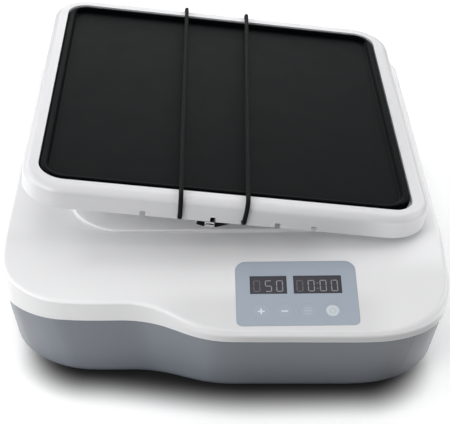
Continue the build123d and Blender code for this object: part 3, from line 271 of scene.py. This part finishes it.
def rubber(name, base, rough=(0.62, 0.74), grain=(700.0, 0.25), var=0.05, sheen=0.0, spec=0.16):
    m = Mat(name, base, sum(rough) / 2, spec=spec)
    m.vary(var, 26.0)
    m.roughness(rough[0], rough[1], 60.0)
    m.grain(grain[0], grain[1], 0.0003)
    if sheen:
        m.set(Sheen_Weight=sheen, Sheen_Roughness=0.5)
    return m


mat_rubber = rubber("mat_rubber", srgb(8, 11, 12), rough=(0.54, 0.58), grain=(1800.0, 0.06), var=0.01, spec=0.055)
# painted shade: the outer face of the bead, in the gap to the tray, is darkened at the front
mat_face_painted_shade = mat_rubber.times(mat_rubber.slope(1, -0.12, -0.5), mat_rubber.slope(2, 0.985, 0.9))
mat_rubber.tone(mat_face_painted_shade, 0.3)
# a darker, nearly unreflective copy of the mat material: painted shade for the bead's front outer faces
mat_edge_painted_shade = rubber("mat_edge_painted_shade", srgb(4, 5, 6), rough=(0.6, 0.64), grain=(1800.0, 0.06), var=0.01, spec=0.004)
foot_rubber = rubber("foot_rubber", srgb(38, 38, 40))
belt_rubber = rubber("belt_rubber", srgb(28, 28, 29))
cable_sheath = rubber("cable_sheath", srgb(30, 30, 33), rough=(0.45, 0.6), grain=(500.0, 0.15))


def metal(name, base, rough=(0.28, 0.42), stretch=(1, 1, 1), scale=120.0, bump=0.08, var=0.06, aniso=0.0):
    m = Mat(name, base, sum(rough) / 2, metallic=1.0)
    v = m.coords(stretch)
    c = base
    dark = tuple(x * (1 - var) for x in c[:3]) + (1.0,)
    lite = tuple(min(1.0, x * (1 + var)) for x in c[:3]) + (1.0,)
    n = m.noise(scale, 4.0, 0.6, v)
    m.colour(m.mixcol(m.ramp(n, 0, 1), dark, lite))
    m.t.links.new(m.ramp(n, rough[0], rough[1]), m.b.inputs["Roughness"])
    m.bump(n, bump, 0.0002)
    return m


zinc = metal("zinc_plate", srgb(196, 197, 190), (0.25, 0.4), scale=300.0)
black_oxide = metal("black_oxide", srgb(52, 52, 55), (0.35, 0.5), scale=300.0)
chassis_paint = moulded("chassis_paint", srgb(150, 154, 160), rough=(0.42, 0.55), grain=(260.0, 0.35), var=0.03)
cast_alloy = metal("cast_alloy", srgb(182, 184, 186), (0.42, 0.6), scale=420.0, bump=0.35, var=0.05)
machined = metal("machined_alloy", srgb(200, 202, 204), (0.22, 0.36), stretch=(1, 30, 1), scale=60.0, bump=0.1)
ground_steel = metal("ground_steel", srgb(196, 196, 198), (0.14, 0.26), stretch=(1, 40, 1), scale=40.0, bump=0.04)
bearing_steel = metal("bearing_steel", srgb(206, 207, 210), (0.1, 0.2), scale=200.0, bump=0.02)
motor_can = metal("motor_can", srgb(168, 169, 172), (0.25, 0.4), stretch=(1, 12, 1), scale=80.0)
gearbox_metal = metal("gearbox_plate", srgb(190, 186, 170), (0.3, 0.45), scale=160.0)
brass = metal("standoff_brass", srgb(206, 172, 96), (0.25, 0.4), scale=200.0)
folded_sheet = metal("folded_sheet", srgb(196, 198, 200), (0.3, 0.42), stretch=(40, 1, 1), scale=30.0)
crimp = metal("crimp_plate", srgb(168, 168, 166), (0.1, 0.3), scale=700.0, bump=0.9, var=0.3)


def board():
    m = Mat("board_mask", srgb(16, 92, 48), 0.35)
    v = m.coords((1, 1, 1))
    w = m.t.nodes.new("ShaderNodeTexVoronoi")
    w.feature = "DISTANCE_TO_EDGE"
    w.distance = "EUCLIDEAN"
    w.inputs["Scale"].default_value = 170.0
    m.t.links.new(v, w.inputs["Vector"])
    f = m.ramp(w.outputs["Distance"], 1.0, 0.0, 0.02, 0.06)
    m.colour(m.mixcol(f, srgb(16, 92, 48), srgb(40, 130, 66)))
    m.bump(f, 0.15, 0.0001)
    m.roughness(0.28, 0.4, 90.0)
    return m


board_mask = board()


def elastic():
    """Woven elastic: fine slanted plaits round a cord that runs mainly front to back."""
    m = Mat("elastic_weave", srgb(12, 12, 15), 0.75, spec=0.12)
    hs = []
    for sgn in (1, -1):
        w = m.t.nodes.new("ShaderNodeTexWave")
        w.wave_type = "BANDS"
        w.bands_direction = "Y"
        w.inputs["Scale"].default_value = 330.0
        w.inputs["Distortion"].default_value = 0.0
        w.inputs["Detail"].default_value = 0.0
        v = m.coords((1, 1, 1), (0, 0, math.radians(35 * sgn)))
        m.t.links.new(v, w.inputs["Vector"])
        hs.append(w.outputs["Fac"])
    mx = m.t.nodes.new("ShaderNodeMath")
    mx.operation = "MULTIPLY"
    m.t.links.new(hs[0], mx.inputs[0])
    m.t.links.new(hs[1], mx.inputs[1])
    m.colour(m.mixcol(m.ramp(mx.outputs[0], 0, 1, 0.1, 0.6), srgb(6, 6, 8), srgb(23, 24, 28)))
    m.bump(mx.outputs[0], 0.7, 0.0004)
    m.set(Sheen_Weight=0.04, Sheen_Roughness=0.4)
    return m


elastic_weave = elastic()


def smoked(name, base):
    m = Mat(name, base, 0.3, spec=0.3)
    m.roughness(0.3, 0.4, 50.0)
    m.bump(m.noise(900.0, 1.0), 0.03, 0.0002)
    return m


window_smoke = smoked("window_smoke", srgb(52, 54, 60))
module_black = moulded("module_moulding", srgb(34, 35, 40), rough=(0.4, 0.55), grain=(900.0, 0.1), var=0.05)

for n in ("top_cover",):
    paint(n, white_cover)
paint("platform_tray", white_tray)
paint("lower_housing", grey_housing)
paint("platform_mat", mat_rubber)
paint("rubber_feet", foot_rubber)
for n in ("foot_screws", "cover_screws", "chassis_screws", "pedestal_screws", "crank_block_screws", "motor_screws",
          "board_screws", "display_screws", "frame_screws", "frame_nuts"):
    paint(n, zinc)
for n in ("clamp_screws",):
    paint(n, black_oxide)
for n in ("chassis_plate", "motor_bracket", "support_frame"):
    paint(n, chassis_paint)
for n in ("front_pedestal", "rear_pedestal"):
    paint(n, cast_alloy)
for n in ("pivot_bearings", "crank_bearings", "cam_roller"):
    paint(n, bearing_steel)
for n in ("crank_block", "shaft_clamps", "drive_fork", "crank_pulley", "motor_pulley"):
    paint(n, machined)
for n in ("rocker_shaft", "shaft_collars", "crank_shaft", "crank_pin", "motor_shaft"):
    paint(n, ground_steel)
paint("drive_belt", belt_rubber)
paint("drive_motor", motor_can)
paint("gearbox", gearbox_metal)
for n in ("control_board", "display_board"):
    paint(n, board_mask)
for n in ("board_components", "tact_switches"):
    paint(n, component)
for n in ("board_standoffs", "inlet_pins"):
    paint(n, brass)
paint("power_supply", folded_sheet)
for n in ("power_inlet", "power_switch_frame", "power_rocker"):
    paint(n, black_plastic)
paint("panel_overlay", panel_film)
for n in ("speed_window", "timer_window"):
    paint(n, window_smoke)
for n in ("speed_display", "timer_display"):
    paint(n, module_black)
for n in ("display_cable", "motor_lead"):
    paint(n, cable_sheath)
paint("retaining_cord", elastic_weave)
paint("cord_ferrule", crimp)
for n in ("key_plus", "key_minus", "key_mode", "key_run"):
    paint(n, key_grey)

# ------------------------------------------------------------------ mesh helpers
def to_object(name, bm, mat, body, place=None, smooth=True, auto=None):
    """A finished bmesh in millimetres becomes a piece in metres on its body."""
    bmesh.ops.scale(bm, vec=(MM, MM, MM), verts=bm.verts)
    if place is not None:
        bmesh.ops.transform(bm, matrix=place, verts=bm.verts)
    bmesh.ops.recalc_face_normals(bm, faces=bm.faces)
    me = bpy.data.meshes.new(name)
    bm.to_mesh(me)
    bm.free()
    for p in me.polygons:
        p.use_smooth = smooth
    ob = bpy.data.objects.new(name, me)
    scene.collection.objects.link(ob)
    me.materials.append(mat.m if isinstance(mat, Mat) else mat)
    if auto is not None:
        me.set_sharp_from_angle(angle=math.radians(auto))
    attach(ob, body)
    return ob


def bridge(bm, a, b):
    n = len(a)
    for k in range(n):
        bm.faces.new((a[k], a[(k + 1) % n], b[(k + 1) % n], b[k]))


# ------------------------------------------------------------------ rubber mat: a raised lip all round a flat floor
MAT_H = 155.7
MAT_RADII = (22.7, 27.0, 19.7, 19.7)      # front left, front right, back right, back left


def mat_ring(inset, per_corner=18, per_side=26):
    """Points round the mat's outline, moved inward, the same count for every inset."""
    h = MAT_H - inset
    pts = []
    corners = ((-1, -1, math.pi), (1, -1, 1.5 * math.pi), (1, 1, 0.0), (-1, 1, 0.5 * math.pi))
    for k, (sx, sy, a0) in enumerate(corners):
        r = max(MAT_RADII[k] - inset, 6.0)
        cx, cy = sx * (h - r), sy * (h - r)
        for j in range(per_corner + 1):
            a = a0 + 0.5 * math.pi * j / per_corner
            pts.append((cx + r * math.cos(a), cy + r * math.sin(a)))
        nx, ny, na = corners[(k + 1) % 4]
        rn = max(MAT_RADII[(k + 1) % 4] - inset, 6.0)
        p0 = pts[-1]
        p1 = (nx * (h - rn) + rn * math.cos(na), ny * (h - rn) + rn * math.sin(na))
        for j in range(1, per_side):
            f = j / per_side
            pts.append((p0[0] + (p1[0] - p0[0]) * f, p0[1] + (p1[1] - p0[1]) * f))
    return pts


MAT_PROFILE = ((3.0, 28.02), (0.15, 28.02), (0.05, 28.15), (0.05, 30.6), (0.5, 31.7), (1.2, 32.6), (2.1, 33.4), (3.1, 34.0),
               (4.1, 34.3), (5.0, 34.3), (5.8, 34.0), (6.5, 33.3), (7.1, 32.3), (7.6, 31.2), (8.1, 30.35), (8.7, 29.95),
               (9.4, 29.9), (10.3, 30.0), (12.0, 30.05))


def rubber_mat():
    bm = bmesh.new()
    rings = []
    for inset, z in MAT_PROFILE:
        rings.append([bm.verts.new((x, y, z)) for x, y in mat_ring(inset)])
    for a, b in zip(rings, rings[1:]):
        bridge(bm, a, b)
    bm.faces.new(rings[0])
    # flat floor as a few more rings, so that its shading stays even
    last = rings[-1]
    for inset in (30.0, 60.0, 100.0):
        nxt = [bm.verts.new((x, y, 30.05)) for x, y in mat_ring(inset)]
        bridge(bm, last, nxt)
        last = nxt
    bm.faces.new(last)
    ob = to_object("mat_moulding", bm, mat_rubber, "platform", PLAT, auto=50)
    ob.data.materials.append(mat_edge_painted_shade.m)
    # painted shade: the mat's front-facing outer faces take the dark copy
    for p in ob.data.polygons:
        if p.normal.y < -0.35 and p.normal.z < 0.92:
            p.material_index = 1
    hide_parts("platform_mat")
    return ob


rubber_mat()


# ------------------------------------------------------------------ displays: seven-segment figures under the smoked windows
def poly(bm, pts, z0, z1, top_inset=0.0):
    """Closed prism over a convex outline, its top edge drawn in a little."""
    cx = sum(p[0] for p in pts) / len(pts)
    cy = sum(p[1] for p in pts) / len(pts)

    def shrink(p, d):
        dx, dy = cx - p[0], cy - p[1]
        n = math.hypot(dx, dy) or 1.0
        return (p[0] + dx / n * d, p[1] + dy / n * d)
    lo = [bm.verts.new((x, y, z0)) for x, y in pts]
    hi = [bm.verts.new((*shrink((x, y), top_inset), z1)) for x, y in pts]
    bridge(bm, lo, hi)
    bm.faces.new(lo[::-1])
    bm.faces.new(hi)


SEGS = {"0": "abcdef", "5": "acdfg", "8": "abcdefg", "-": "g"}


def segment(cx, cy, length, wide, horizontal, slant=0.0):
    """Hexagonal outline of one segment of a figure."""
    a, b = length / 2, wide / 2
    p = [(-a, 0), (-a + b, -b), (a - b, -b), (a, 0), (a - b, b), (-a + b, b)]
    if not horizontal:
        p = [(-y, x) for x, y in p]
    return [(cx + x, cy + y) for x, y in p]


def figure(bm, cx, cy, segs, w=5.6, h=11.2, t=0.82, z0=-0.05, z1=0.0):
    hw, hh = (w - t) / 2, (h - t) / 2
    gap = 0.12
    lay = {"a": (cx, cy + hh, w - t, True), "g": (cx, cy, w - t, True), "d": (cx, cy - hh, w - t, True),
           "f": (cx - hw, cy + hh / 2, hh, False), "b": (cx + hw, cy + hh / 2, hh, False),
           "e": (cx - hw, cy - hh / 2, hh, False), "c": (cx + hw, cy - hh / 2, hh, False)}
    for sgm in segs:
        x, y, ln, hor = lay[sgm]
        poly(bm, segment(x, y, ln - 2 * gap, t, hor), z0, z1, 0.03)


def plate_round(bm, cx, cy, w, h, r, z0, z1, n=6):
    pts = []
    for sx, sy, a0 in ((1, 1, 0), (-1, 1, 90), (-1, -1, 180), (1, -1, 270)):
        for j in range(n + 1):
            a = math.radians(a0 + 90 * j / n)
            pts.append((cx + sx * (w / 2 - r) + r * math.cos(a), cy + sy * (h / 2 - r) + r * math.sin(a)))
    poly(bm, pts, z0, z1, 0.0)


WIN = ((36.2, 49.5, 30.0, 17.4), (76.35, 49.5, 39.2, 17.4))
display_field = Mat("display_field", srgb(62, 60, 67), 0.45, spec=0.3)
display_field.vary(0.06, 60.0)
display_field.roughness(0.4, 0.5, 80.0)
display_field.grain(1600.0, 0.08, 0.0001)
segment_lit = Mat("segment_lit", srgb(144, 147, 151), 0.5, spec=0.3)
segment_lit.vary(0.08, 240.0)
segment_lit.roughness(0.42, 0.55, 90.0)
segment_dim = Mat("segment_dim", srgb(103, 100, 104), 0.5, spec=0.3)
segment_dim.vary(0.08, 240.0)
segment_dim.roughness(0.42, 0.55, 90.0)

for name, (cx, cy, w, h) in (("speed_field", WIN[0]), ("timer_field", WIN[1])):
    bm = bmesh.new()
    plate_round(bm, cx, cy, w - 2.6, h - 2.6, 0.8, -0.07, -0.03)
    to_object(name, bm, display_field, "base", DECK, smooth=False)
FIG_Y = 48.3
LIT = (("speed_figures", ((36.3, FIG_Y, "acdfg"), (45.4, FIG_Y, "abcdef"))),
       ("timer_figures", ((71.2, FIG_Y, "abcdef"), (80.9, FIG_Y, "abcdef"), (90.1, FIG_Y, "abcdef"))))
DIM = (("speed_figure_off", ((26.8, FIG_Y, "abcdef"),)), ("timer_figure_off", ((61.9, FIG_Y, "abcdef"),)))
for group, mt in ((LIT, segment_lit), (DIM, segment_dim)):
    for name, figs in group:
        bm = bmesh.new()
        for cx, cy, segs in figs:
            figure(bm, cx, cy, segs, z0=-0.04, z1=0.0)
        if name == "timer_figures":
            for dy in (2.6, -2.6):
                plate_round(bm, 76.4, FIG_Y + dy, 0.95, 0.95, 0.4, -0.04, 0.0)
        to_object(name, bm, mt, "base", DECK, smooth=False)

# ------------------------------------------------------------------ printed symbols, each on its own key
KEY_Y = 24.0


def strokes(name, parts, mat, body):
    bm = bmesh.new()
    for pts in parts:
        poly(bm, pts, -0.01, 0.04, 0.02)
    return to_object(name, bm, mat, body, DECK, smooth=False)


def bar(cx, cy, w, h, r=None):
    r = min(w, h) / 2 * 0.9 if r is None else r
    pts = []
    for sx, sy, a0 in ((1, 1, 0), (-1, 1, 90), (-1, -1, 180), (1, -1, 270)):
        for j in range(5):
            a = math.radians(a0 + 90 * j / 4)
            pts.append((cx + sx * (w / 2 - r) + r * math.cos(a), cy + sy * (h / 2 - r) + r * math.sin(a)))
    return pts


def plus_symbol():
    bm = bmesh.new()
    a, b = 2.75, 0.6
    out = [(b, b), (b, a), (-b, a), (-b, b), (-a, b), (-a, -b), (-b, -b), (-b, -a), (b, -a), (b, -b), (a, -b), (a, b)]
    lo = [bm.verts.new((29.5 + x, KEY_Y + y, -0.01)) for x, y in out]
    hi = [bm.verts.new((29.5 + x * 0.985, KEY_Y + y * 0.985, 0.04)) for x, y in out]
    bridge(bm, lo, hi)
    bm.faces.new(lo[::-1])
    bm.faces.new(hi)
    return to_object("plus_print", bm, print_white, "plus_key", DECK, smooth=False)


plus_symbol()
strokes("minus_print", [bar(48.4, KEY_Y, 5.6, 1.25)], print_white, "minus_key")
strokes("mode_print", [bar(67.3, KEY_Y + 2.5, 6.0, 0.7), bar(67.3, KEY_Y, 6.4, 1.0), bar(67.3, KEY_Y - 2.5, 6.0, 0.7)],
        print_faint, "mode_key")


def disc(name, cx, cy, r, z0, z1, mat, body, n=72, dome=0.0):
    """Round plate with a softened edge and a slight crown."""
    bm = bmesh.new()
    prof = [(r, z0), (r, z1 - 0.03), (r - 0.04, z1), (r * 0.8, z1 + dome * 0.4), (r * 0.45, z1 + dome * 0.85), (r * 0.15, z1 + dome)]
    rings = []
    for rr, z in prof:
        rings.append([bm.verts.new((cx + rr * math.cos(2 * math.pi * k / n), cy + rr * math.sin(2 * math.pi * k / n), z)) for k in range(n)])
    for a_, b_ in zip(rings, rings[1:]):
        bridge(bm, a_, b_)
    bm.faces.new(rings[0][::-1])
    bm.faces.new(rings[-1])
    return to_object(name, bm, mat, body, DECK, auto=40)


disc("run_print", 87.0, KEY_Y, 5.2, -0.01, 0.05, key_white, "run_key")


def arc_band(cx, cy, r, w, a0, a1, n=40):
    pts_o = [(cx + (r + w / 2) * math.cos(a0 + (a1 - a0) * k / n), cy + (r + w / 2) * math.sin(a0 + (a1 - a0) * k / n)) for k in range(n + 1)]
    pts_i = [(cx + (r - w / 2) * math.cos(a0 + (a1 - a0) * k / n), cy + (r - w / 2) * math.sin(a0 + (a1 - a0) * k / n)) for k in range(n + 1)]
    return pts_o, pts_i


def power_symbol():
    bm = bmesh.new()
    o_, i_ = arc_band(87.0, KEY_Y - 0.1, 2.3, 0.62, math.radians(125), math.radians(415))
    z0, z1 = 0.03, 0.07
    lo_o = [bm.verts.new((x, y, z0)) for x, y in o_]
    lo_i = [bm.verts.new((x, y, z0)) for x, y in i_]
    hi_o = [bm.verts.new((x, y, z1)) for x, y in o_]
    hi_i = [bm.verts.new((x, y, z1)) for x, y in i_]
    for k in range(len(o_) - 1):
        bm.faces.new((hi_o[k], hi_o[k + 1], hi_i[k + 1], hi_i[k]))
        bm.faces.new((lo_o[k + 1], lo_o[k], lo_i[k], lo_i[k + 1]))
        bm.faces.new((lo_o[k], lo_o[k + 1], hi_o[k + 1], hi_o[k]))
        bm.faces.new((lo_i[k + 1], lo_i[k], hi_i[k], hi_i[k + 1]))
    for k in (0, len(o_) - 1):
        f = (lo_o[k], hi_o[k], hi_i[k], lo_i[k])
        bm.faces.new(f)
    poly(bm, bar(87.0, KEY_Y + 1.7, 0.62, 2.9), z0, z1, 0.02)
    return to_object("run_symbol", bm, print_grey, "run_key", DECK, smooth=False)


power_symbol()

# ------------------------------------------------------------------ floor and light
bm = bmesh.new()
bmesh.ops.create_grid(bm, x_segments=8, y_segments=8, size=4.0)
me = bpy.data.meshes.new("floor")
bm.to_mesh(me)
bm.free()
floor = bpy.data.objects.new("floor", me)
floor.location = (0, 0, -0.0002)
scene.collection.objects.link(floor)
fm = Mat("floor_paper", (0.93, 0.93, 0.93, 1.0), 0.8, spec=0.1)
fm.roughness(0.7, 0.85, 3.0)
# soft contact shadow: the sheet darkens towards the object's footprint, a rounded shape whose front follows the wave
SHADOW = dict(half=0.1345, front=-0.1615, step=-0.0213, x0=-0.14, x1=0.0273, back=0.162, radius=0.0185, fade=0.049,
              power=1.772, low=0.022)


def calc(op, a, b=None):
    n = fm.t.nodes.new("ShaderNodeMath")
    n.operation = op
    for sock, v in zip(n.inputs, (a, b)):
        if v is None:
            continue
        if isinstance(v, (int, float)):
            sock.default_value = v
        else:
            fm.t.links.new(v, sock)
    return n.outputs[0]


def smooth(fac, a, b, lo=0.0, hi=1.0):
    out = fm.ramp(fac, lo, hi, a, b)
    out.node.interpolation_type = "SMOOTHSTEP"
    return out


place = fm.t.nodes.new("ShaderNodeSeparateXYZ")
fm.t.links.new(fm.tc.outputs["Object"], place.inputs[0])
px, py = place.outputs[0], place.outputs[1]
front = smooth(px, SHADOW["x0"], SHADOW["x1"], SHADOW["front"] + SHADOW["radius"], SHADOW["front"] + SHADOW["step"] + SHADOW["radius"])
qx = calc("ADD", calc("ABSOLUTE", px), SHADOW["radius"] - SHADOW["half"])
qy = calc("MAXIMUM", calc("SUBTRACT", front, py), calc("ADD", py, SHADOW["radius"] - SHADOW["back"]))
ox, oy = calc("MAXIMUM", qx, 0.0), calc("MAXIMUM", qy, 0.0)
out = calc("SQRT", calc("ADD", calc("MULTIPLY", ox, ox), calc("MULTIPLY", oy, oy)))
away = calc("SUBTRACT", calc("ADD", out, calc("MINIMUM", calc("MAXIMUM", qx, qy), 0.0)), SHADOW["radius"])
fall = calc("POWER", smooth(away, 0.0, SHADOW["fade"]), SHADOW["power"])
open_light = calc("ADD", calc("MULTIPLY", fall, 1.0 - SHADOW["low"]), SHADOW["low"])
fm.colour(fm.mixcol(open_light, (0.0, 0.0, 0.0, 1.0), (0.93, 0.93, 0.93, 1.0)))
fm.t.links.new(fm.mixcol(open_light, (0.0, 0.0, 0.0, 1.0), (1.0, 1.0, 1.0, 1.0)), fm.b.inputs["Emission Color"])
FLOOR_GLOW = 0.2
# far off, the sheet runs white into the backdrop as seen directly, without lighting the object any more
seen = fm.t.nodes.new("ShaderNodeLightPath")
reach = calc("SQRT", calc("ADD", calc("MULTIPLY", px, px), calc("MULTIPLY", py, py)))
lift = calc("MULTIPLY", smooth(reach, 0.45, 1.3), seen.outputs["Is Camera Ray"])
fm.t.links.new(calc("ADD", calc("MULTIPLY", lift, 1.0), FLOOR_GLOW), fm.b.inputs["Emission Strength"])
floor.data.materials.append(fm.m)

world = bpy.data.worlds.new("studio")
scene.world = world
world.use_nodes = True
world.node_tree.nodes["Background"].inputs["Color"].default_value = (0.96, 0.98, 1.0, 1.0)
world.node_tree.nodes["Background"].inputs["Strength"].default_value = 0.045
sky = world.node_tree
paper = sky.nodes.new("ShaderNodeBackground")
paper.inputs["Color"].default_value = (1.0, 1.0, 1.0, 1.0)
paper.inputs["Strength"].default_value = 1.05
direct = sky.nodes.new("ShaderNodeLightPath")
both = sky.nodes.new("ShaderNodeMixShader")
sky.links.new(direct.outputs["Is Camera Ray"], both.inputs[0])
sky.links.new(sky.nodes["Background"].outputs[0], both.inputs[1])
sky.links.new(paper.outputs[0], both.inputs[2])
sky.links.new(both.outputs[0], sky.nodes["World Output"].inputs["Surface"])
scene.view_settings.view_transform = "Standard"


def area(name, loc, target, size, energy, size_y=None):
    l = bpy.data.lights.new(name, "AREA")
    l.shape = "RECTANGLE"
    l.size = size
    l.size_y = size_y or size
    l.energy = energy
    o = bpy.data.objects.new(name, l)
    o.location = loc
    o.rotation_euler = (Vector(target) - Vector(loc)).to_track_quat("-Z", "Y").to_euler()
    scene.collection.objects.link(o)
    return o


area("top_soft", (0.0, 0.05, 1.9), (0, 0.0, 0.0), 1.6, 24.0 * 0.409)
area("back_soft", (0.0, 1.7, 0.7), (0, 0.0, 0.1), 1.2, 28.0 * 0.354)
area("front_high", (0.0, -0.9, 1.7), (0, 0.0, 0.1), 1.0, 24.0 * 0.193)
area("left_soft", (-1.5, 0.0, 0.8), (0, 0, 0.1), 1.0, 20.0 * 0.488)
area("right_soft", (1.5, 0.0, 0.8), (0, 0, 0.1), 1.0, 20.0 * 0.515)
area("back_left", (-1.1, 1.1, 0.9), (0, 0, 0.1), 0.9, 20.0 * 0.312)
area("back_right", (1.1, 1.1, 0.9), (0, 0, 0.1), 0.9, 20.0 * 0.298)
area("front_left", (-1.1, -1.1, 0.9), (0, 0, 0.1), 0.9, 20.0 * 0.683)
